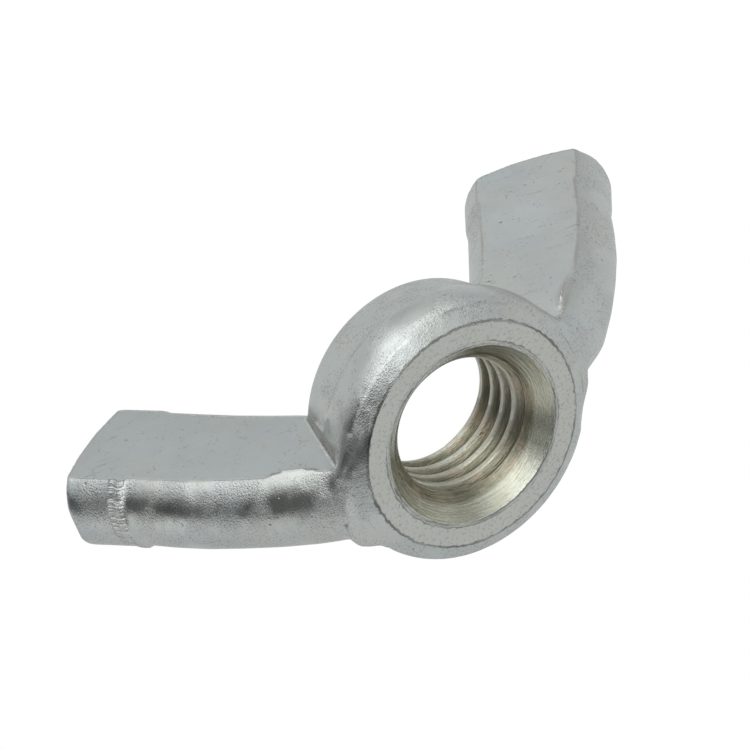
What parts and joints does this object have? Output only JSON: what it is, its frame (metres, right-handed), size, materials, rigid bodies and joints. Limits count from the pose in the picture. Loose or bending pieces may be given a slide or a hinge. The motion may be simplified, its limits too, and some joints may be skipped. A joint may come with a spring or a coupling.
{
  "type": "wing nut",
  "caption": "Forged square-wing nut: a round tapped hub with a countersunk bearing face and a thick flat-sided wing rising on each side for tightening by hand.",
  "frame": {"origin": "centre of the flat bearing face", "axes": "+Z along the thread axis from the bearing face towards the wing tips, +X and -X towards the two wings, Y through the thickness of the wings"},
  "size_m": [0.0674, 0.028, 0.0323],
  "materials": {
    "zinc_steel": "bright clear zinc plating over a cold-forged steel surface, satin on the flats and glossy with an orange-peel grain on the rounded edges"
  },
  "bodies": {
    "root": {"wing_nut": "zinc_steel"}
  },
  "joints": []
}
